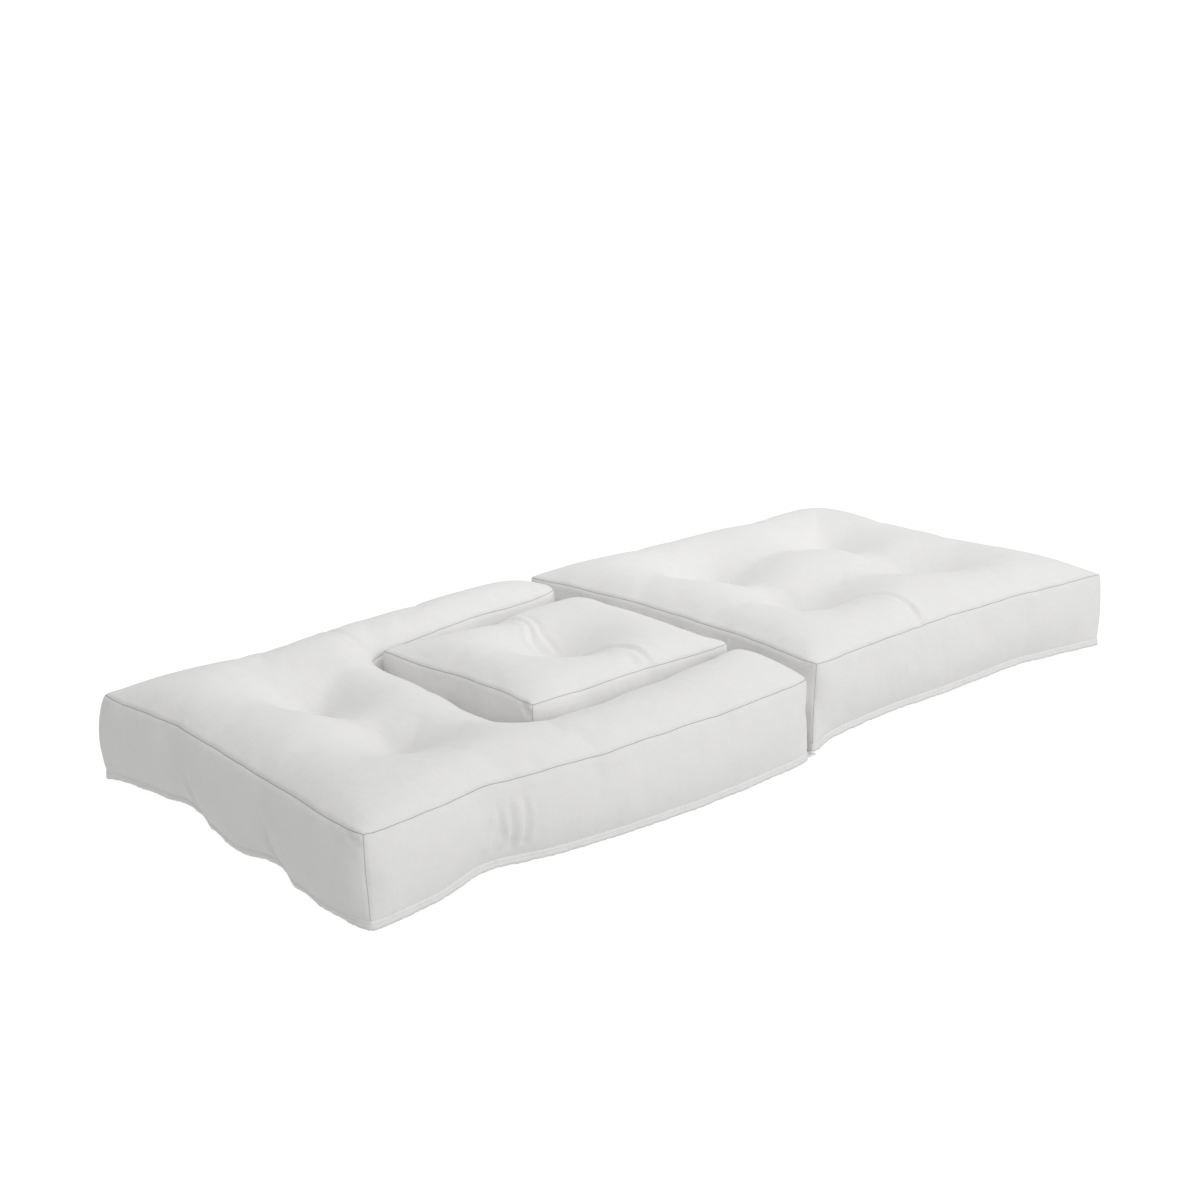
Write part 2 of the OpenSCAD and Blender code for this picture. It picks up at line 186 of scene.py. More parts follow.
SECTIONS = {
    "back": {
        "body": "back_section",
        "fill": 0.72,
        "spare": 0.007,
        "outline": [
            (back_low.x, back_low.y),
            (back_high.x, back_low.y),
            (back_high.x, -arm_y),
            (recess_x, -arm_y),
            (recess_x, arm_y),
            (back_high.x, arm_y),
            (back_high.x, back_high.y),
            (back_low.x, back_high.y),
        ],
        "corners": [
            corner(149, move=(-3, 3, 0, 0), bulge=5),
            corner(151, reach=36, cut=5, move=(-6, -10, 2, -8), bulge=1),
            corner(169, reach=60, cut=14, move=(-4, -14, 0, -4), bulge=1),
            corner(147, reach=70, cut=20, move=(-6, -6, 0, 0), bulge=0),
            corner(152, reach=50, cut=14, move=(-1, 3, 0, 0), bulge=0),
            corner(169, reach=60, cut=14, move=(-7, 38, -2, 10), bulge=1),
            corner(160, reach=60, cut=12, move=(-2, 4, 2, 6), bulge=1),
            corner(160, move=(-4, -12, 1, 17), bulge=11),
        ],
        "sides": [
            side(
                12,
                (0.13, -3, 0, -9, 1),
                (0.26, -15, 1, -33, 5),
                (0.38, -4, 0, -13, 1),
                (0.54, 5, -1, 4, 0),
                (0.78, 10, -1, 12, 0),
                (0.93, 5, 0, 6, 0),
            ),
            side(-1, (0.5, 1, 2, -3, 0)),
            side(2, (0.2, -6, 2, -5, 0), (0.6, -5, 0, -4, 0)),
            side(
                3,
                (0.12, -9, -2, -3, 0),
                (0.3, -12, -1, -5, 0),
                (0.5, -9, 4, -5, 0),
                (0.68, -7, 4, -4, 0),
                (0.9, -2, 2, 0, 0),
            ),
            side(4, (0.2, -10, 6, -3, 0), (0.45, -13, 7, -5, 0), (0.8, -5, 2, -5, 0)),
            side(-1, (0.5, 1, 2, -3, 0)),
            side(
                12,
                (0.07, 5, 2, 6, 0),
                (0.22, 10, 2, 11, 0),
                (0.46, 5, 0, 4, 0),
                (0.62, -4, 0, -13, 1),
                (0.74, -15, 0, -33, 5),
                (0.87, -2, 2, -9, 1),
            ),
            side(
                14,
                (0.10, -3, 1, -12, 4),
                (0.21, -8, 2, -22, 5),
                (0.30, -13, 3, -34, 4),
                (0.42, -13, 2, -16, 2),
                (0.54, -10, 0, -3, 0),
                (0.65, -7, -1, -21, 2),
                (0.76, -3, -1, 2, 0),
                (0.90, 2, 0, 8, 0),
                tuck=1,
            ),
        ],
    },
    "base": {
        "body": "base_section",
        "fill": 0.78,
        "spare": 0.010,
        "outline": [
            (base_low.x, base_low.y),
            (base_high.x, base_low.y),
            (base_high.x, base_high.y),
            (base_low.x, base_high.y),
        ],
        "corners": [
            corner(167, move=(1, 2, 2, 8), bulge=1),
            corner(149, reach=24, cut=2, move=(-4, -6, -3, -9)),
            corner(148, reach=110, cut=24),
            corner(161, move=(0, 5, 0, 0), bulge=1),
        ],
        "sides": [
            side(
                10,
                (0.09, -9, -2, -20, 5),
                (0.30, -15, 1, -29, 6),
                (0.50, -17, 3, -27, 5),
                (0.71, -16, 1, -30, 5),
                (0.86, -8, 0, -15, 3),
            ),
            side(
                10,
                (0.15, -6, 4, -14, 3),
                (0.33, -14, 1, -30, 7),
                (0.50, -9, 1, -14, 3),
                (0.68, -16, -2, -30, 7),
                (0.86, -6, 1, -14, 3),
            ),
            side(
                10,
                (0.14, -7, -2, -18, 3),
                (0.29, -18, -3, -34, 6),
                (0.50, -14, 0, -24, 4),
                (0.71, -19, -3, -34, 6),
                (0.90, -5, 0, -12, 2),
            ),
            side(1, (0.18, -5, 6, -6, 0), (0.45, -11, 10.5, -12, 3), (0.75, -9, 8, -10, 0)),
        ],
    },
    "seat": {
        "body": "seat_cushion",
        "fill": 0.8,
        "spare": 0.012,
        "outline": [
            (seat_low.x, seat_low.y),
            (seat_high.x, seat_low.y),
            (seat_high.x, seat_high.y),
            (seat_low.x, seat_high.y),
        ],
        "corners": [
            corner(171, reach=26, cut=3, move=(5, 4, 2, 2)),
            corner(166, reach=26, cut=3, move=(3, 3, 0, 0), bulge=1),
            corner(168, reach=40, cut=8, move=(2, 0, 0, 0), bulge=1),
            corner(168, reach=26, cut=3, move=(-4, 3, 0, 0)),
        ],
        "sides": [
            side(4, (0.2, -3, 0, -3, 2), (0.5, -7, 2, -8, 5), (0.8, -4, 0, -4, 2)),
            side(1, (0.5, -4, 6, -8, 4)),
            side(4, (0.3, -7, 4, -8, 4), (0.55, -13, -3, -9, 4), (0.8, -6, 2, -6, 2)),
            side(5, (0.25, -4, -2, -5, 2), (0.5, -8, 1, -8, 4), (0.75, -3, 4, -4, 2)),
        ],
    },
}

# Where the filling stands higher or lower than the rest: x, y, reach, height, in millimetres.
# A panel's shape is the valley between neighbouring tufts, the tufts' funnel and the wide hollow round it.
FILLING = {
    "back": {
        "rise": 28,
        "lumps": [
            (-270, -292, 170, -8),
            (-5, -240, 90, 28),
            (-240, 292, 200, 8),
            (-440, 320, 110, 8),
            (-705, -180, 60, 9),
            (-705, 55, 60, 9),
        ],
        "top": (15, 50, 104),
        "low": (4, 26, 60),
    },
    "base": {
        "rise": 27,
        "lumps": [
            (467, 0, 120, 12),
            (790, 0, 120, -6),
            (230, -180, 60, 4),
            (230, 55, 60, 7),
            (585, -180, 60, 8),
            (585, 55, 60, 6),
        ],
        "top": (13, 50, 98),
        "low": (4, 26, 60),
    },
    "seat": {"rise": 20, "lumps": [(-265, -50, 45, 8)], "top": (2, 44, 88), "low": (4, 24, 50)},
}


def between(gx, gy, a, b):
    """How far each place is from the line that joins two tufts."""
    way = np.subtract(b, a)
    share = ((gx - a[0]) * way[0] + (gy - a[1]) * way[1]) / (way @ way)
    share = np.clip(share, 0, 1)
    return np.hypot(gx - a[0] - share * way[0], gy - a[1] - share * way[1])


def tufted(height, level, gx, gy, tufts, floor, shape):
    """Draws each tuft's place to its floor: a funnel in a wide hollow, with valleys from tuft to tuft."""
    valley, funnel, hollow = (value * MM for value in shape)
    inside = np.clip((height - level) / (valley * 1.6), -1, 1)
    trough = np.zeros(gx.shape)
    for k, a in enumerate(tufts):
        for b in tufts[k + 1 :]:
            if a[0] == b[0] or a[1] == b[1]:
                trough = np.maximum(trough, np.exp(-((between(gx, gy, a, b) / (0.7 * hollow)) ** 2)))
    height = height - valley * inside * trough

    def dip(x, y, at_x, at_y):
        r = np.hypot(at_x - x, at_y - y)
        return 0.42 * np.exp(-((r / funnel) ** 1.3)) + 0.58 * np.exp(-((r / hollow) ** 2.6))

    mix = np.array([[dip(x, y, u, v) for x, y in tufts] for u, v in tufts])
    near = [np.argmin(np.hypot(gx - x, gy - y)) for x, y in tufts]
    depth = np.linalg.solve(mix, np.array([height.flat[k] - floor for k in near]))
    held = np.clip(np.abs(height - level) / (6 * MM), 0, 1)
    for (x, y), drop in zip(tufts, depth):
        height = height - drop * dip(x, y, gx, gy) * held
    return height


def rounded(points, along, spec, inward):
    """Rounds a corner off: points near it, by their distance along the outline, move towards inward."""
    near = np.clip(1 - along / (spec["reach"] * MM), 0, 1)
    points[:, :2] += np.outer(near**2 * spec["cut"] * MM, inward)


def inward_at(outline, k):
    """The direction that halves the outline's corner, towards the inside of its turn."""
    before = outline[k] - outline[k - 1]
    after = outline[(k + 1) % len(outline)] - outline[k]
    way = after / np.linalg.norm(after) - before / np.linalg.norm(before)
    return way / np.linalg.norm(way)


def seam_loops(section, loop_xy, loop_side, loop_share):
    """The top seam and the closing seam, a point for each place on the outline's loop."""
    spec = SECTIONS[section]
    outline = np.array(spec["outline"])
    corners = spec["corners"]
    count = len(outline)
    top = np.zeros((len(loop_xy), 3))
    low = np.zeros((len(loop_xy), 3))
    normal = np.zeros((len(loop_xy), 2))
    for k in range(count):
        here = loop_side == k
        a, b = outline[k], outline[(k + 1) % count]
        ca, cb = corners[k], corners[(k + 1) % count]
        way = (b - a) / np.linalg.norm(b - a)
        out = np.array([way[1], -way[0]])
        t = loop_share[here]
        rows = curve_through(spec["sides"][k]["rows"], t) * MM
        for points, column, ends in ((top, 0, slice(0, 2)), (low, 2, slice(2, 4))):
            start = a + np.array(ca["move"][ends]) * MM
            stop = b + np.array(cb["move"][ends]) * MM
            points[here, :2] = start + np.outer(t, stop - start) + np.outer(rows[:, column], out)
        top[here, 2] = (ca["top"] * (1 - t) + cb["top"] * t) * MM + rows[:, 1]
        low[here, 2] = FLANGE_H + 1.5 * MM + rows[:, 3]
        normal[here] = out
    for k in range(count):
        inward = inward_at(outline, k)
        away = np.abs(loop_xy - outline[k]).sum(1)
        beside = (loop_side == k) | (loop_side == (k - 1) % count)
        away = np.where(beside, away, 1.0)
        rounded(top, away, corners[k], inward)
        rounded(low, away, corners[k], inward)
    place = np.column_stack([loop_xy, np.zeros(len(loop_xy))])
    top[:, :2] += normal * (wobble(place, 110 * MM, 31) * 1.1 * MM)[:, None]
    top[:, 2] += wobble(place, 95 * MM, 32) * 1.1 * MM
    low[:, :2] += normal * (wobble(place, 100 * MM, 33) * 1.5 * MM)[:, None]
    return top, low, normal


def cover(section):
    """A section's closed cover before the cloth work: both panels and the boxing, on shared edges."""
    spec = SECTIONS[section]
    outline = np.array(spec["outline"])
    tufts = tuft_places(section)
    x_stops = sorted({round(float(v), 6) for v in outline[:, 0]} | {round(float(t[0]), 6) for t in tufts})
    y_stops = sorted({round(float(v), 6) for v in outline[:, 1]} | {round(float(t[1]), 6) for t in tufts})
    xs, ys = grid_lines(*x_stops), grid_lines(*y_stops)
    gx, gy = np.meshgrid(xs, ys, indexing="ij")
    mid_x, mid_y = (xs[1:] + xs[:-1]) / 2, (ys[1:] + ys[:-1]) / 2
    cell = np.ones((len(mid_x), len(mid_y)), bool)
    if section == "back":
        cell = ~((mid_x[:, None] > recess_x) & (np.abs(mid_y[None, :]) < arm_y))
    used = np.zeros(gx.shape, bool)
    for di in (0, 1):
        for dj in (0, 1):
            used[di : di + cell.shape[0], dj : dj + cell.shape[1]] |= cell

    # the loop of grid nodes along the outline
    loop, loop_side, loop_share = [], [], []
    for k, a in enumerate(outline):
        b = outline[(k + 1) % len(outline)]
        i0, j0 = np.argmin(abs(xs - a[0])), np.argmin(abs(ys - a[1]))
        i1, j1 = np.argmin(abs(xs - b[0])), np.argmin(abs(ys - b[1]))
        steps = max(abs(i1 - i0), abs(j1 - j0))
        for s in range(steps):
            i = i0 + (i1 - i0) * s // steps
            j = j0 + (j1 - j0) * s // steps
            loop.append((i, j))
            loop_side.append(k)
            here = np.array([xs[i], ys[j]])
            loop_share.append(np.linalg.norm(here - a) / np.linalg.norm(b - a))
    loop = np.array(loop)
    loop_side, loop_share = np.array(loop_side), np.array(loop_share)
    loop_xy = np.stack([xs[loop[:, 0]], ys[loop[:, 1]]], 1)
    top_seam, low_seam, normal = seam_loops(section, loop_xy, loop_side, loop_share)

    # both panels: the seams and the tufts hold them, and the filling lifts the rest
    rim = np.zeros(gx.shape, bool)
    rim[loop[:, 0], loop[:, 1]] = True
    free = used & ~rim
    near_tuft = np.min([np.hypot(gx - x, gy - y) for x, y in tufts], axis=0)
    pinned = near_tuft < PAD_R
    pull = (MESH_STEP / FILL_REACH) ** 2
    filling = FILLING[section]
    panels = {}
    pads = {"top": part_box(section + "_top_tufts")[0].z, "low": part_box(section + "_bottom_tufts")[1].z}
    for which, seam in (("top", top_seam), ("low", low_seam)):
        shift = []
        for axis in (0, 1):
            start = np.zeros(gx.shape)
            start[loop[:, 0], loop[:, 1]] = seam[:, axis] - loop_xy[:, axis]
            shift.append(settle(start, free))
        edge = np.full(gx.shape, seam[:, 2].mean())
        edge[loop[:, 0], loop[:, 1]] = seam[:, 2]
        level = settle(edge, free)
        if which == "top":
            rest = level + filling["rise"] * MM
            for x, y, reach, lift in filling["lumps"]:
                rest += lift * MM * np.exp(-((gx - x * MM) ** 2 + (gy - y * MM) ** 2) / (reach * MM) ** 2)
        else:
            rest = level - 22 * MM
        height = settle(level, free, pull, rest)
        height = tufted(height, level, gx, gy, tufts, pads[which], filling[which])
        if which == "low":
            height = np.maximum(height, FLOOR_GAP)
        panels[which] = np.stack([gx + shift[0], gy + shift[1], height], -1)

    # vertices and faces
    index = {}
    points = []
    for which in ("top", "low"):
        ids = np.full(gx.shape, -1)
        ids[used] = len(points) + np.arange(used.sum())
        index[which] = ids
        points.extend(panels[which][used])
    plateau = 1 - np.abs(2 * loop_share - 1) ** 6
    bulges = np.array([s["bulge"] for s in spec["sides"]])[loop_side] * MM * plateau
    swell = normal * bulges[:, None]
    for k, spot in enumerate(spec["corners"]):
        near = smoothstep(1 - np.linalg.norm(loop_xy - outline[k], axis=1) / (90 * MM))
        swell -= np.outer(near * spot["bulge"] * MM, inward_at(outline, k))
    rows = [index["top"][loop[:, 0], loop[:, 1]]]
    for r in range(1, BOXING_ROWS):
        v = r / BOXING_ROWS
        ring = top_seam * (1 - v) + low_seam * v
        ring[:, :2] += swell * (4 * v * (1 - v)) ** 0.8 * (1.15 - 0.3 * v)
        rows.append(len(points) + np.arange(len(loop)))
        points.extend(ring)
    rows.append(index["low"][loop[:, 0], loop[:, 1]])
    faces = []
    for i, j in np.argwhere(cell):
        t, b = index["top"], index["low"]
        faces.append((t[i, j], t[i + 1, j], t[i + 1, j + 1], t[i, j + 1]))
        faces.append((b[i, j], b[i, j + 1], b[i + 1, j + 1], b[i + 1, j]))
    for upper, lower in zip(rows, rows[1:]):
        faces.extend(zip(upper, lower, np.roll(lower, -1), np.roll(upper, -1)))
    points = np.array(points)
    marks = {name: np.zeros(len(points)) for name in ("seam_top", "seam_low", "seam_corner", "pin", "tuck")}
    marks["seam_top"][rows[0]] = 1
    marks["seam_low"][rows[-1]] = 1
    marks["tuck"][rows[-1]] = np.array([s["tuck"] for s in spec["sides"]])[loop_side] * plateau
    turning = loop_share < 1e-3
    for row in rows:
        marks["seam_corner"][row[turning]] = 1
    marks["pin"][:] = 0.05
    marks["pin"][rows[0]] = 0.5
    for which in ("top", "low"):
        marks["pin"][index[which][pinned & used]] = 1
    marks["pin"][rows[-1]] = 1
    mesh = bpy.data.meshes.new(section + "_cover")
    mesh.from_pydata(points.tolist(), [], [tuple(int(v) for v in f) for f in faces])
    for name, values in marks.items():
        mesh.attributes.new(name, "FLOAT", "POINT").data.foreach_set("value", values.astype(np.float32))
    piece = bpy.data.objects.new(section + "_cover", mesh)
    bpy.context.scene.collection.objects.link(piece)
    return piece


def coordinates(mesh):
    flat = np.zeros(len(mesh.vertices) * 3, np.float32)
    mesh.vertices.foreach_get("co", flat)
    return flat.reshape(-1, 3).astype(float)


def set_coordinates(mesh, points):
    mesh.vertices.foreach_set("co", points.astype(np.float32).ravel())
    mesh.update()


def values_of(mesh, name):
    flat = np.zeros(len(mesh.vertices), np.float32)
    mesh.attributes[name].data.foreach_get("value", flat)
    return flat


def edges_of(mesh):
    flat = np.zeros(len(mesh.edges) * 2, np.int32)
    mesh.edges.foreach_get("vertices", flat)
    return flat.reshape(-1, 2)


def bake_modifiers(piece):
    """Applies everything on the piece's modifier stack to its mesh."""
    graph = bpy.context.evaluated_depsgraph_get()
    mesh = bpy.data.meshes.new_from_object(piece.evaluated_get(graph), depsgraph=graph)
    piece.modifiers.clear()
    old = piece.data
    piece.data = mesh
    bpy.data.meshes.remove(old)


def refine(piece):
    """One subdivision, which keeps the seams as creases."""
    mesh = piece.data
    edges = edges_of(mesh)
    crease = np.zeros(len(edges), np.float32)
    for name, sharpness in (("seam_top", 0.75), ("seam_low", 0.8), ("seam_corner", 0.45)):
        mark = values_of(mesh, name)
        crease = np.maximum(crease, sharpness * ((mark[edges] > 0.99).all(1)))
    mesh.attributes.new("crease_edge", "FLOAT", "EDGE").data.foreach_set("value", crease)
    modifier = piece.modifiers.new("refine", "SUBSURF")
    modifier.levels = modifier.render_levels = 1
    bake_modifiers(piece)


def sink_seam(piece, name, depth, lip):
    """Sinks a marked line into the cover as a narrow groove, and draws its neighbours close to it."""
    mesh = piece.data
    points = coordinates(mesh)
    mark = values_of(mesh, name)
    edges = edges_of(mesh)
    on_line = mark > 0.9
    beside = (mark > 0.4) & ~on_line
    normals = np.zeros(len(points) * 3, np.float32)
    mesh.vertices.foreach_get("normal", normals)
    normals = normals.reshape(-1, 3)
    both = np.vstack([edges, edges[:, ::-1]])
    links = both[on_line[both[:, 0]] & beside[both[:, 1]]]
    aim = np.zeros_like(points)
    hits = np.zeros(len(points))
    np.add.at(aim, links[:, 1], points[links[:, 0]])
    np.add.at(hits, links[:, 1], 1)
    moved = hits > 0
    aim[moved] /= hits[moved, None]
    gap = points[moved] - aim[moved]
    length = np.linalg.norm(gap, axis=1, keepdims=True)
    points[moved] = aim[moved] + gap / length * np.minimum(length, lip)
    points[on_line] -= normals[on_line] * depth
    set_coordinates(mesh, points)


def walk(piece, name):
    """The marked line's vertices, in order round the cover, as vertex numbers."""
    mesh = piece.data
    mark = values_of(mesh, name) > 0.9
    beside = {}
    for a, b in edges_of(mesh):
        if mark[a] and mark[b]:
            beside.setdefault(int(a), []).append(int(b))
            beside.setdefault(int(b), []).append(int(a))
    order = [min(beside)]
    last = None
    while True:
        onward = [v for v in beside[order[-1]] if v != last]
        last = order[-1]
        if onward[0] == order[0] or len(order) > len(beside):
            break
        order.append(onward[0])
    return np.array(order)


# ---------------------------------------------------------------- simulating the cloth
def evened(mesh, field, free, rounds=8):
    """The field with its small ripples evened out along the mesh's edges."""
    edges = edges_of(mesh)
    both = np.vstack([edges, edges[:, ::-1]])
    count = np.bincount(both[:, 0], minlength=len(field))
    field = field.copy()
    for _ in range(rounds):
        mean = [np.bincount(both[:, 0], field[both[:, 1], k], len(field)) / count for k in range(3)]
        field[free] = 0.4 * field[free] + 0.6 * np.stack(mean, 1)[free]
    return field


def drape(pieces):
    """Blows the covers up as cloth with a little to spare, held by the tufts and the closing seams."""
    scene = bpy.context.scene
    rest = {}
    for piece in pieces:
        mesh = piece.data
        points = coordinates(mesh)
        rest[piece.name] = points
        hold = values_of(mesh, "pin")
        points = points + np.stack([wobble(points, 70 * MM, k) for k in (1, 2, 3)], 1) * 0.4 * MM
        points[hold > 0.99] = rest[piece.name][hold > 0.99]
        set_coordinates(mesh, points)
        group = piece.vertex_groups.new(name="hold")
        for weight in np.unique(hold):
            group.add(np.flatnonzero(hold == weight).tolist(), float(weight), "REPLACE")
        modifier = piece.modifiers.new("drape", "CLOTH")
        cloth = modifier.settings
        cloth.quality = 6
        cloth.mass = 0.2
        cloth.tension_stiffness = cloth.compression_stiffness = 20
        cloth.shear_stiffness = 8
        cloth.bending_stiffness = 0.5
        cloth.air_damping = 2
        cloth.use_pressure = True
        cloth.uniform_pressure_force = 4
        cloth.shrink_min = cloth.shrink_max = -SECTIONS[piece.name.split("_")[0]]["spare"]
        cloth.vertex_group_mass = "hold"
        cloth.pin_stiffness = 0.03
        cloth.effector_weights.gravity = 0
        modifier.collision_settings.use_collision = False
        modifier.point_cache.frame_end = DRAPE_FRAMES
    for step in range(1, DRAPE_FRAMES + 1):
        scene.frame_set(step)
    for piece in pieces:
        bake_modifiers(piece)
        piece.vertex_groups.clear()
        moved = coordinates(piece.data) - rest[piece.name]
        free = values_of(piece.data, "pin") < 0.99
        smooth = evened(piece.data, moved, free)
        moved = DRAPE_WRINKLES * moved + (1 - DRAPE_WRINKLES) * smooth
        length = np.linalg.norm(moved, axis=1, keepdims=True)
        moved *= np.minimum(1, DRAPE_CAP / np.maximum(length, 1e-9))
        points = rest[piece.name] + moved
        points[:, 2] = np.maximum(points[:, 2], FLOOR_GAP)
        set_coordinates(piece.data, points)
    scene.frame_set(1)


# ---------------------------------------------------------------- folds pressed into the finished cloth
# Each fold has a half width, a depth, the height of the ridge on its left, and the points it runs through.
FOLDS = {
    "back": [
        (7, 3.4, 1.4, [(-456, 215, 155), (-462, 260, 168), (-468, 310, 168), (-465, 360, 158)]),
        (6, 3.2, 2.0, [(-656, -392, 20), (-654, -394, 60), (-652, -390, 100), (-655, -384, 128)]),
        (5, 4.4, 2.4, [(-634, -392, 18), (-630, -394, 60), (-632, -390, 105), (-628, -384, 132)]),
        (5, 4.0, 2.4, [(-612, -392, 18), (-607, -394, 60), (-605, -390, 100), (-612, -384, 138)]),
        (8, 6.5, 2.4, [(-880, 117, 12), (-890, 112, 45), (-895, 120, 95)]),
        (8, 6.5, 2.4, [(-880, -117, 12), (-890, -112, 45), (-895, -118, 90)]),
        (4, 2.6, 1.6, [(-894, -340, 143), (-893, -352, 136), (-890, -368, 134)]),
    ],
    "base": [
        (6, 3.8, 2.4, [
            (318, -150, 150), (338, -196, 170), (364, -250, 178),
            (370, -302, 180), (355, -348, 176), (338, -378, 168),
        ]),
        (5, 2.6, 1.6, [(286, -392, 66), (292, -394, 84), (290, -392, 106)]),
        (5, 2.4, 1.4, [(42, 230, 156), (36, 229, 135), (38, 231, 108)]),
        (5, 2.4, 1.4, [(42, 60, 156), (36, 61, 135), (38, 58, 108)]),
        (5, 2.4, 1.4, [(42, -40, 158), (36, -39, 135), (38, -42, 108)]),
        (5, 2.4, 1.4, [(42, -150, 160), (36, -152, 135), (38, -149, 108)]),
    ],
    "seat": [
        (6, 4.2, 2.6, [
            (-212, 20, 140), (-215, 57, 168), (-190, 110, 176), (-195, 150, 176), (-228, 180, 170),
        ]),
        (5, 3.0, 1.8, [(-190, 22, 140), (-186, 70, 168), (-170, 115, 176), (-176, 160, 174)]),
        (6, 3.8, 2.6, [
            (-205, -24, 145), (-187, -58, 160), (-168, -98, 170),
            (-156, -138, 175), (-158, -170, 174), (-166, -198, 168),
        ]),
        (5, 4.0, 2.2, [(-440, -172, 168), (-438, -182, 158), (-432, -190, 150)]),
    ],
}


def smooth_line(knots, spacing=3 * MM):
    """A smooth line through the knots, as evenly spaced points."""
    knots = np.array(knots, float) * MM
    place = np.r_[0, np.cumsum(np.linalg.norm(np.diff(knots, axis=0), axis=1))]
    steps = max(4, int(place[-1] / spacing))
    rows = np.column_stack([place, knots])
    return curve_through(rows, np.linspace(0, place[-1] * 0.9999, steps))


def normals_of(mesh):
    flat = np.zeros(len(mesh.vertices) * 3, np.float32)
    mesh.vertices.foreach_get("normal", flat)
    return flat.reshape(-1, 3).astype(float)


def press_folds(piece, folds):
    """Presses each fold in: a valley along its line and a ridge beside it, fading out at both ends."""
    for width, depth, ridge, knots in folds:
        points, normals = coordinates(piece.data), normals_of(piece.data)
        line = smooth_line(knots)
        reach = 4 * width * MM
        near = ((points > line.min(0) - 2 * reach) & (points < line.max(0) + 2 * reach)).all(1)
        near = np.flatnonzero(near)
        gap = points[near, None, :] - line[None, :, :]
        lift = (gap * normals[near, None, :]).sum(2)
        flat = gap - lift[..., None] * normals[near, None, :]
        away = np.linalg.norm(flat, axis=2) + 0.15 * np.abs(lift)
        pick = away.argmin(1)
        rows = np.arange(len(near))
        way = np.gradient(line, axis=0)
        way /= np.linalg.norm(way, axis=1, keepdims=True)
        left = np.cross(normals[near], way[pick])
        side_way = (flat[rows, pick] * left).sum(1)
        share = pick / (len(line) - 1)
        fade = smoothstep(share / 0.18) * smoothstep((1 - share) / 0.3)
        off_end = (pick == 0) | (pick == len(line) - 1)
        fade = np.where(off_end, 0, fade)
        fade = fade * (np.abs(lift[rows, pick]) < 45 * MM)
        u = side_way / (width * MM)
        ridges = np.exp(-((u - 1.7) ** 2)) + 0.35 * np.exp(-((u + 2.0) ** 2))
        push = ridge * ridges - depth * np.exp(-(u**2))
        points[near] += normals[near] * (push * fade * MM)[:, None]
        set_coordinates(piece.data, points)


# ---------------------------------------------------------------- materials
class Finish:
    """A material's node tree, written as calls that return sockets."""

    def __init__(self, name):
        self.material = bpy.data.materials.new(name)
        self.material.use_nodes = True
        self.nodes = self.material.node_tree.nodes
        self.links = self.material.node_tree.links
        self.nodes.clear()
        self.place = self.add("ShaderNodeTexCoord", out="Object")
        self.facing = self.place.node.outputs["Normal"]

    def add(self, kind, inputs=None, out=0, **settings):
        node = self.nodes.new(kind)
        for key, value in settings.items():
            setattr(node, key, value)
        for key, value in (inputs or {}).items():
            if isinstance(value, bpy.types.NodeSocket):
                self.links.new(value, node.inputs[key])
            else:
                node.inputs[key].default_value = value
        return node.outputs[out]

    def math(self, operation, a, b=0.0, c=0.0):
        return self.add("ShaderNodeMath", {0: a, 1: b, 2: c}, operation=operation)

    def split(self, vector):
        node = self.add("ShaderNodeSeparateXYZ", {0: vector}).node
        return [node.outputs[k] for k in range(3)]

    def join(self, x, y, z=0.0):
        return self.add("ShaderNodeCombineXYZ", {0: x, 1: y, 2: z})

    def noise(self, vector, scale, detail=2.0, dimensions="3D"):
        inputs = {"Vector": vector, "Scale": scale, "Detail": detail}
        return self.add("ShaderNodeTexNoise", inputs, noise_dimensions=dimensions)

    def spread(self, value, low, high, to_low, to_high):
        inputs = {"Value": value, 1: low, 2: high, 3: to_low, 4: to_high}
        return self.add("ShaderNodeMapRange", inputs)

    def blend(self, factor, a, b):
        return self.add("ShaderNodeMix", {0: factor, 6: (*a, 1), 7: (*b, 1)}, out=2, data_type="RGBA")

    def finish(self, colour, roughness, height=None, depth=0.0, sheen=0.0, glow=0.0):
        shader = self.add("ShaderNodeBsdfPrincipled").node
        shader.inputs["Emission Color"].default_value = (1, 1, 1, 1)
        shader.inputs["Emission Strength"].default_value = glow
        shader.inputs["Sheen Weight"].default_value = sheen
        shader.inputs["Sheen Roughness"].default_value = 0.5
        shader.inputs["Specular IOR Level"].default_value = 0.25
        for name, value in (("Base Color", colour), ("Roughness", roughness)):
            self.links.new(value, shader.inputs[name])
        if height is not None:
            bump = self.add("ShaderNodeBump", {"Height": height, "Distance": depth, "Strength": 1.0})
            self.links.new(bump, shader.inputs["Normal"])
        output = self.nodes.new("ShaderNodeOutputMaterial")
        self.links.new(shader.outputs[0], output.inputs[0])
        return self.material


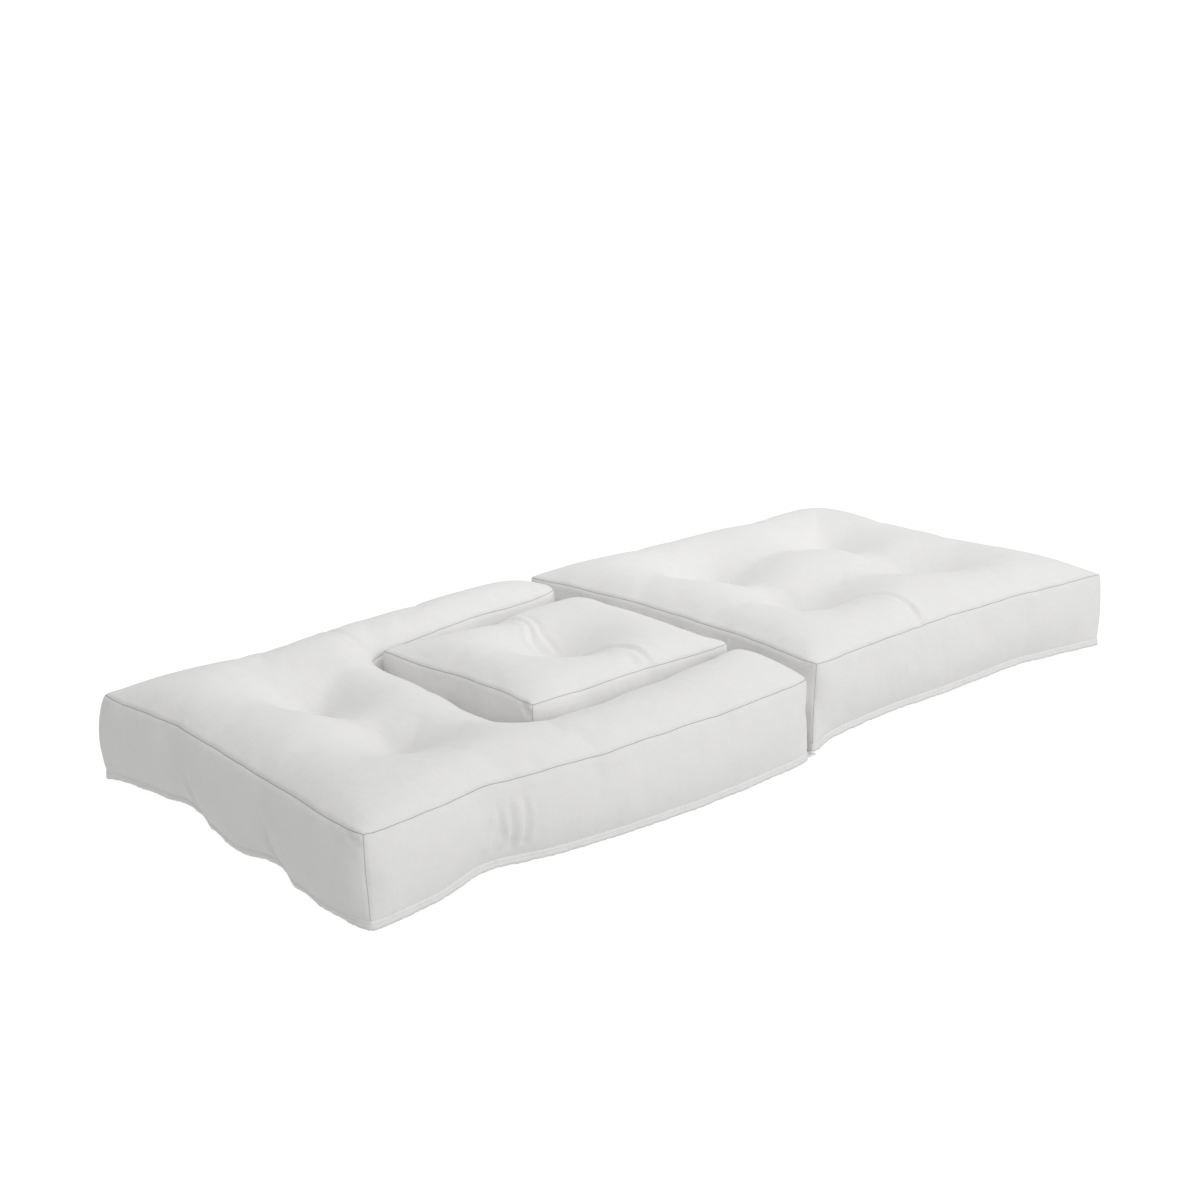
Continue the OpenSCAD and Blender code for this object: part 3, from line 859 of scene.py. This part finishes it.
def woven(name, light, dark, thread, depth, slub=1.0, sheen=0.15):
    """Plain woven cloth seen from all sides: threads, slubs along them, and faint uneven tone."""
    f = Finish(name)
    x, y, z = f.split(f.place)
    facing = [f.math("POWER", f.math("ABSOLUTE", n), 4.0) for n in f.split(f.facing)]
    total = f.math("ADD", f.math("ADD", facing[0], facing[1]), facing[2])
    weave, streaks = None, None
    for share, (u, v) in zip(facing, ((y, z), (x, z), (x, y))):
        share = f.math("DIVIDE", share, total)
        turns = 2 * math.pi / thread
        wave_u = f.math("SINE", f.math("MULTIPLY", u, turns))
        wave_v = f.math("SINE", f.math("MULTIPLY", v, turns))
        knit = f.math("MULTIPLY", f.math("MULTIPLY", wave_u, wave_v), share)
        along_u = f.noise(f.join(f.math("MULTIPLY", u, 0.045), v), 0.62 / thread, 1.0, "2D")
        along_v = f.noise(f.join(u, f.math("MULTIPLY", v, 0.045)), 0.62 / thread, 1.0, "2D")
        streak = f.math("MULTIPLY", f.math("ADD", along_u, along_v), share)
        weave = knit if weave is None else f.math("ADD", weave, knit)
        streaks = streak if streaks is None else f.math("ADD", streaks, streak)
    cloud = f.noise(f.place, 38.0, 3.0)
    patch = f.noise(f.place, 9.0, 2.0)
    tone = f.math("ADD", f.math("MULTIPLY", streaks, 0.55 * slub), f.math("MULTIPLY", cloud, 0.45))
    tone = f.math("ADD", tone, f.math("MULTIPLY", patch, 0.35))
    tone = f.math("ADD", tone, f.math("MULTIPLY", weave, 0.03))
    colour = f.blend(f.spread(tone, 0.62, 1.28, 0.0, 1.0), dark, light)
    rough = f.spread(streaks, 0.6, 1.4, 0.96, 0.84)
    height = f.math("ADD", f.math("MULTIPLY", weave, 0.5), f.math("MULTIPLY", streaks, 1.1 * slub))
    crumple = f.noise(f.place, 52.0, 4.0)
    height = f.math("ADD", height, f.math("MULTIPLY", crumple, 20.0))
    return f.finish(colour, rough, height, depth, sheen)


def fibrous(name, light, dark, scale, depth, stretch=(1.0, 1.0, 1.0), sheen=0.2):
    """Felt, thread or twine: fine fibres, with the noise stretched along the fibres."""
    f = Finish(name)
    x, y, z = f.split(f.place)
    vector = f.join(*(f.math("MULTIPLY", axis, s) for axis, s in zip((x, y, z), stretch)))
    fibres = f.noise(vector, scale, 4.0)
    patch = f.noise(f.place, scale / 12, 2.0)
    tone = f.math("ADD", f.math("MULTIPLY", fibres, 0.7), f.math("MULTIPLY", patch, 0.3))
    colour = f.blend(f.spread(tone, 0.3, 0.7, 0.0, 1.0), dark, light)
    rough = f.spread(fibres, 0.3, 0.7, 0.98, 0.85)
    return f.finish(colour, rough, fibres, depth, sheen)


OFF_WHITE = (0.86, 0.856, 0.848)
YARN = 1.15 * MM
CLOTH = woven("off_white_cotton", OFF_WHITE, (0.82, 0.815, 0.805), YARN, 0.06 * MM)
FLANGE_CLOTH = woven("off_white_cotton_edge", OFF_WHITE, (0.80, 0.795, 0.785), YARN, 0.09 * MM, slub=1.4)
# a dark grey cord for the top seam and the corner seams: painted shade, the shadow of the seam grooves
# drawn as a grey thread
SEAM_SHADE_THREAD = fibrous("grey_seam_thread", (0.52, 0.515, 0.50), (0.40, 0.395, 0.38), 1500.0, 0.05 * MM)
CLOSING_THREAD = fibrous(
    "off_white_closing_thread", (0.84, 0.835, 0.825), (0.76, 0.755, 0.74), 1500.0, 0.05 * MM
)
TWINE = fibrous("waxed_tuft_twine", (0.72, 0.68, 0.58), (0.52, 0.48, 0.39), 1100.0, 0.08 * MM)
FELT = fibrous("wool_tuft_felt", (0.74, 0.73, 0.70), (0.62, 0.61, 0.58), 700.0, 0.12 * MM)


# ---------------------------------------------------------------- sewn details
class Shape:
    """Points and faces that several small forms are gathered in."""

    def __init__(self):
        self.points, self.faces = [], []

    def grid(self, rows, closed_rows=False, closed_columns=False, caps=False):
        """Faces over rows of points, which all have the same length."""
        base, count, width = len(self.points), len(rows), len(rows[0])
        for row in rows:
            self.points.extend(map(tuple, row))
        for r in range(count if closed_rows else count - 1):
            for c in range(width if closed_columns else width - 1):
                a, b = base + r * width, base + (r + 1) % count * width
                d = (c + 1) % width
                self.faces.append((a + c, a + d, b + d, b + c))
        if caps:
            self.faces.append(tuple(base + c for c in reversed(range(width))))
            self.faces.append(tuple(base + (count - 1) * width + c for c in range(width)))

    def tube(self, line, radii, sides=6, closed=False):
        line = np.array(line)
        way = np.gradient(line, axis=0)
        if closed:
            way = np.roll(line, -1, 0) - np.roll(line, 1, 0)
        way /= np.linalg.norm(way, axis=1, keepdims=True)
        guide = np.array([0.0, 0.0, 1.0]) if np.abs(way[:, 2]).mean() < 0.8 else np.array([1.0, 0.0, 0.0])
        across = np.cross(way, guide)
        across /= np.linalg.norm(across, axis=1, keepdims=True)
        upward = np.cross(across, way)
        turn = np.arange(sides) * 2 * math.pi / sides
        radii = np.broadcast_to(radii, len(line))
        rows = [
            p + r * (np.outer(np.cos(turn), a) + np.outer(np.sin(turn), u))
            for p, r, a, u in zip(line, radii, across, upward)
        ]
        self.grid(rows, closed_rows=closed, closed_columns=True, caps=not closed)

    def piece(self, name, material, body, slot):
        mesh = bpy.data.meshes.new(name)
        mesh.from_pydata([tuple(float(v) for v in p) for p in self.points], [], self.faces)
        mesh.materials.append(material)
        mesh.validate()
        mesh.shade_smooth()
        made = bpy.data.objects.new(name, mesh)
        bpy.context.scene.collection.objects.link(made)
        if body:
            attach(made, body)
        return made


def stitches(shape, line, normals, pitch, length, radius):
    """Short stitches along a line, each a small rounded bar that dips into the cloth at both ends."""
    place = np.r_[0, np.cumsum(np.linalg.norm(np.diff(line, axis=0), axis=1))]
    along = np.linspace(-0.5, 0.5, 5)
    profile = np.sqrt(1 - (2 * along) ** 2 * 0.9)
    for middle in np.arange(pitch, place[-1] - pitch / 2, pitch):
        at = middle + along * length
        centre = np.column_stack([np.interp(at, place, line[:, k]) for k in range(3)])
        out = np.column_stack([np.interp(at, place, normals[:, k]) for k in range(3)])
        centre += out * (profile[:, None] - 0.55) * radius * 1.2
        shape.tube(centre, radius * profile)


def corner_lines(piece, outline):
    """The upright corner seams, each from top to bottom, as vertex numbers."""
    mark = np.flatnonzero(values_of(piece.data, "seam_corner") > 0.9)
    points = coordinates(piece.data)
    plan = np.linalg.norm(points[mark, None, :2] - np.array(outline)[None], axis=2)
    owner = plan.argmin(1)
    lines = []
    for k in range(len(outline)):
        own = mark[owner == k]
        lines.append(own[np.argsort(-points[own, 2])])
    return lines


def flange(section, piece):
    """The closing seam's flange: two turned-in edges that hang from the seam, a little wavy and uneven."""
    order = walk(piece, "seam_low")
    points, normals = coordinates(piece.data)[order], normals_of(piece.data)[order]
    out = normals * [1, 1, 0]
    out /= np.linalg.norm(out, axis=1, keepdims=True)
    flutter = wobble(points, 60 * MM, 11)
    ragged = wobble(points, 16 * MM, 12)
    tuck = values_of(piece.data, "tuck")[order]
    drop = FLANGE_H * (0.96 + 0.07 * ragged) * (1 - 0.1 * tuck)
    rows = []
    # share of the way down, how far it stands out in millimetres, share of the full thickness
    profile = ((-0.12, -0.6, 0.5), (0.0, 0.1, 0.9), (0.3, 0.5, 1.0), (0.62, 0.8, 1.05), (1.0, 1.0, 0.7))
    for down, stand, thick in profile:
        lean = (stand - tuck * 4 * max(down, 0) + flutter * 1.3 * max(down, 0)) * MM
        for face in (1, -1):
            row = points + out * (lean + face * FLANGE_T / 2 * thick)[:, None]
            row[:, 2] = np.maximum(points[:, 2] - drop * down, 0.5 * MM)
            rows.append((face, row))
    ring = [r for f, r in rows if f == 1] + [r for f, r in reversed(rows) if f == -1]
    shape = Shape()
    shape.grid(list(np.array(ring).transpose(1, 0, 2)), closed_rows=True, closed_columns=True)
    made = shape.piece(section + "_closing_flange", FLANGE_CLOTH, SECTIONS[section]["body"], "cover_cloth")
    stitch_line = ring[2] + out * 0.3 * MM
    return made, stitch_line, out


def tuft_pads(section, which):
    """Felt pads in the tufts' hollows: lobed discs, drawn in where the twine goes through."""
    node_low, node_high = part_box(f"{section}_{which}_tufts")
    shape = Shape()
    turn = np.arange(40) * 2 * math.pi / 40
    top_side = which == "top"
    # share of the radius and share of the height, from the middle of the face round to the back
    profile = ((0.06, 0.30), (0.25, 0.52), (0.5, 0.92), (0.78, 1.0), (0.95, 0.7), (1.0, 0.35))
    profile += ((0.93, 0.05), (0.5, 0.0), (0.06, 0.0))
    for k, (x, y) in enumerate(tuft_places(section)):
        rows = []
        for share, rise in profile:
            lobes = 1 + 0.05 * share * np.cos(9 * turn + k)
            radius = PAD_R * share * lobes
            z = node_low.z + (node_high.z - node_low.z) * rise
            if not top_side:
                z = node_high.z - (node_high.z - node_low.z) * rise
            ring = np.column_stack([x + radius * np.cos(turn), y + radius * np.sin(turn), np.full(40, z)])
            ring[:, 2] += 0.25 * MM * share * np.cos(9 * turn + k)
            rows.append(ring)
        if not top_side:
            rows = [row[::-1] for row in rows]
        shape.grid(rows, closed_columns=True, caps=True)
    for face in range(len(shape.faces)):
        shape.faces[face] = tuple(reversed(shape.faces[face]))
    return shape.piece(f"{section}_{which}_tuft_pads", FELT, SECTIONS[section]["body"], "tuft_felt")


def tuft_twines(section):
    """The twine of each tuft: through the filling, over the pad as a stitch, and knotted underneath."""
    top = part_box(section + "_top_tufts")[1].z
    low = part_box(section + "_bottom_tufts")[0].z
    radius = 1.1 * MM
    shape = Shape()
    arc = np.linspace(0, math.pi, 9)
    for k, (x, y) in enumerate(tuft_places(section)):
        heading = np.array([math.cos(0.7 + k), math.sin(0.7 + k)])
        for level, way in ((top, 1), (low, -1)):
            across = 4.2 * MM * np.cos(arc)
            lift = way * (2.4 * MM * np.sin(arc) - 1.6 * MM)
            loop = np.column_stack([x + heading[0] * across, y + heading[1] * across, level + lift])
            shape.tube(loop, radius)
        turn = np.linspace(0, 2 * math.pi, 28)[:-1]
        knot = np.column_stack([
            np.sin(turn) + 2 * np.sin(2 * turn),
            np.cos(turn) - 2 * np.cos(2 * turn),
            -np.sin(3 * turn),
        ]) * 0.95 * MM
        shape.tube(knot + [x + 1 * MM, y - 1 * MM, low - 2.2 * MM], radius * 0.8, closed=True)
        shape.tube([(x, y, low), (x, y, (low + top) / 2), (x, y, top)], radius)
    return shape.piece(section + "_tuft_twine", TWINE, SECTIONS[section]["body"], "tuft_twine")


def hinge_strip(which):
    """A strip of cloth that joins an arm's tip to the base section across the fold line."""
    a_low, a_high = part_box(f"hinge_{which}_back_half")
    b_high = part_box(f"hinge_{which}_base_half")[1]
    shape = Shape()
    xs = np.linspace(a_low.x - STRIP_SEWN, b_high.x + STRIP_SEWN, 14)
    ys = np.linspace(a_low.y + STRIP_INSET, a_high.y - STRIP_INSET, 60)
    upper, lower = [], []
    for x in xs:
        row = np.column_stack([np.full(60, x), ys, np.zeros(60)])
        wave = wobble(row, 45 * MM, 21) * 0.35 * MM
        edge = np.minimum(np.abs(ys - ys[0]), np.abs(ys - ys[-1]))
        hem = 0.5 * MM * (edge < 7 * MM)
        upper.append(row + np.column_stack([np.zeros(60), np.zeros(60), 1.9 * MM + wave + hem]))
        lower.append(row + np.column_stack([np.zeros(60), np.zeros(60), 0.6 * MM + wave * 0.5]))
    rings = [np.vstack([u, l[::-1]]) for u, l in zip(upper, lower)]
    shape.grid(rings, closed_columns=True, caps=True)
    made = shape.piece(f"hinge_strip_{which}", FLANGE_CLOTH, None, "cover_cloth")
    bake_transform(made)
    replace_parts(made, f"hinge_{which}_back_half", f"hinge_{which}_base_half")
    return made


# ---------------------------------------------------------------- put together
covers = {section: cover(section) for section in SECTIONS}
drape(list(covers.values()))

for section, spec in SECTIONS.items():
    piece = covers[section]
    refine(piece)
    press_folds(piece, FOLDS[section])
    sink_seam(piece, "seam_top", SEAM_DEPTH, SEAM_LIP)
    sink_seam(piece, "seam_corner", 1.2 * MM, 2.0 * MM)
    piece.data.materials.append(CLOTH)
    piece.data.shade_smooth()
    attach(piece, spec["body"])
    own = [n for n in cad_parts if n.startswith(section)]
    hidden_kinds = ("panel", "boxing", "felt", "foam")
    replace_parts(piece, *[n for n in own if any(kind in n for kind in hidden_kinds)])

    points, normals = coordinates(piece.data), normals_of(piece.data)
    # the seam grooves' painted shade: a thin grey cord along the top seam and down each corner seam
    seam_shade_lines = Shape()
    seam = walk(piece, "seam_top")
    seam_shade_lines.tube(points[seam] + normals[seam] * 0.5 * MM, THREAD_R, closed=True)
    for line in corner_lines(piece, spec["outline"]):
        seam_shade_lines.tube(points[line] + normals[line] * 0.2 * MM, THREAD_R * 0.8)
    rim, stitch_line, out = flange(section, piece)
    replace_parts(rim, section + "_bottom_seam")
    closing = Shape()
    stitches(closing, stitch_line, out, 5 * MM, 3.4 * MM, 0.4 * MM)
    closing.piece(section + "_closing_stitches", CLOSING_THREAD, spec["body"], "seam_stitching")
    sewn = seam_shade_lines.piece(section + "_stitching", SEAM_SHADE_THREAD, spec["body"], "seam_stitching")
    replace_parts(sewn, section + "_top_seam")
    for which in ("top", "bottom"):
        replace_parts(tuft_pads(section, which), f"{section}_{which}_tufts")
    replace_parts(tuft_twines(section), section + "_tuft_twines")

for which in ("near", "far"):
    strip = hinge_strip(which)


# ---------------------------------------------------------------- floor, light and camera
def floor_and_light():
    # a wide flat disc, whose rim sweeps up far behind the object
    flat_radius, sweep_width, sweep_height, sectors = 45, 20, 8, 96
    turn = -np.arange(sectors) * 2 * math.pi / sectors
    rings = []
    for t in np.linspace(0, 1, 12):
        radius = flat_radius + sweep_width * t
        height = np.full(sectors, sweep_height * t * t)
        rings.append(np.column_stack([radius * np.cos(turn), radius * np.sin(turn), height]))
    sweep = Shape()
    sweep.faces.append(tuple(reversed(range(sectors))))
    sweep.grid(rings, closed_columns=True)
    mesh = bpy.data.meshes.new("floor")
    mesh.from_pydata([tuple(map(float, p)) for p in sweep.points], [], sweep.faces)
    floor = bpy.data.objects.new("floor", mesh)
    bpy.context.scene.collection.objects.link(floor)
    floor.visible_diffuse = False  # the cloth is lit by the studio, not by the white floor
    paper = Finish("floor_paper")
    grain = paper.noise(paper.place, 4.0, 3.0)
    tone = paper.blend(grain, (0.23, 0.23, 0.23), (0.25, 0.25, 0.25))
    mesh.materials.append(paper.finish(tone, paper.spread(grain, 0.3, 0.7, 0.85, 0.95), glow=0.87))
    world = bpy.data.worlds.new("studio")
    world.use_nodes = True
    world.node_tree.nodes["Background"].inputs["Color"].default_value = (1, 1, 1, 1)
    world.node_tree.nodes["Background"].inputs["Strength"].default_value = 0.55
    bpy.context.scene.world = world
    key = bpy.data.lights.new("overhead", "AREA")
    key.size = 1.6
    key.energy = 18.0
    fill = bpy.data.lights.new("front_fill", "SUN")
    fill.angle = math.radians(50)
    fill.energy = 0.9
    softbox = bpy.data.lights.new("softbox", "AREA")
    softbox.size = 1.5
    softbox.energy = 8.0
    places = ((key, (0.7, 0.7, 2.4)), (fill, (0.25, -2.2, 0.8)), (softbox, (1.0, -2.5, 1.0)))
    for light, place in places:
        lamp = bpy.data.objects.new(light.name, light)
        lamp.location = place
        lamp.rotation_euler = Vector(place).to_track_quat("Z", "Y").to_euler()
        bpy.context.scene.collection.objects.link(lamp)


def camera():
    azimuth, elevation, roll = (math.radians(a) for a in (-42.18, 17.52, -0.75))
    level = math.cos(elevation)
    back = Vector((math.sin(azimuth) * level, -math.cos(azimuth) * level, math.sin(elevation)))
    right = Vector((math.cos(azimuth), math.sin(azimuth), 0))
    up = back.cross(right)
    turned_right = right * math.cos(roll) + up * math.sin(roll)
    turned_up = up * math.cos(roll) - right * math.sin(roll)
    data = bpy.data.cameras.new("camera")
    data.lens = 55.47
    data.sensor_width = 36
    eye = bpy.data.objects.new("camera", data)
    turn = Matrix((turned_right, turned_up, back)).transposed().to_4x4()
    eye.matrix_world = Matrix.Translation((-2.2058, -2.3123, 1.2157)) @ turn
    bpy.context.scene.collection.objects.link(eye)
    bpy.context.scene.camera = eye


floor_and_light()
camera()
bpy.context.scene.view_settings.view_transform = "Standard"
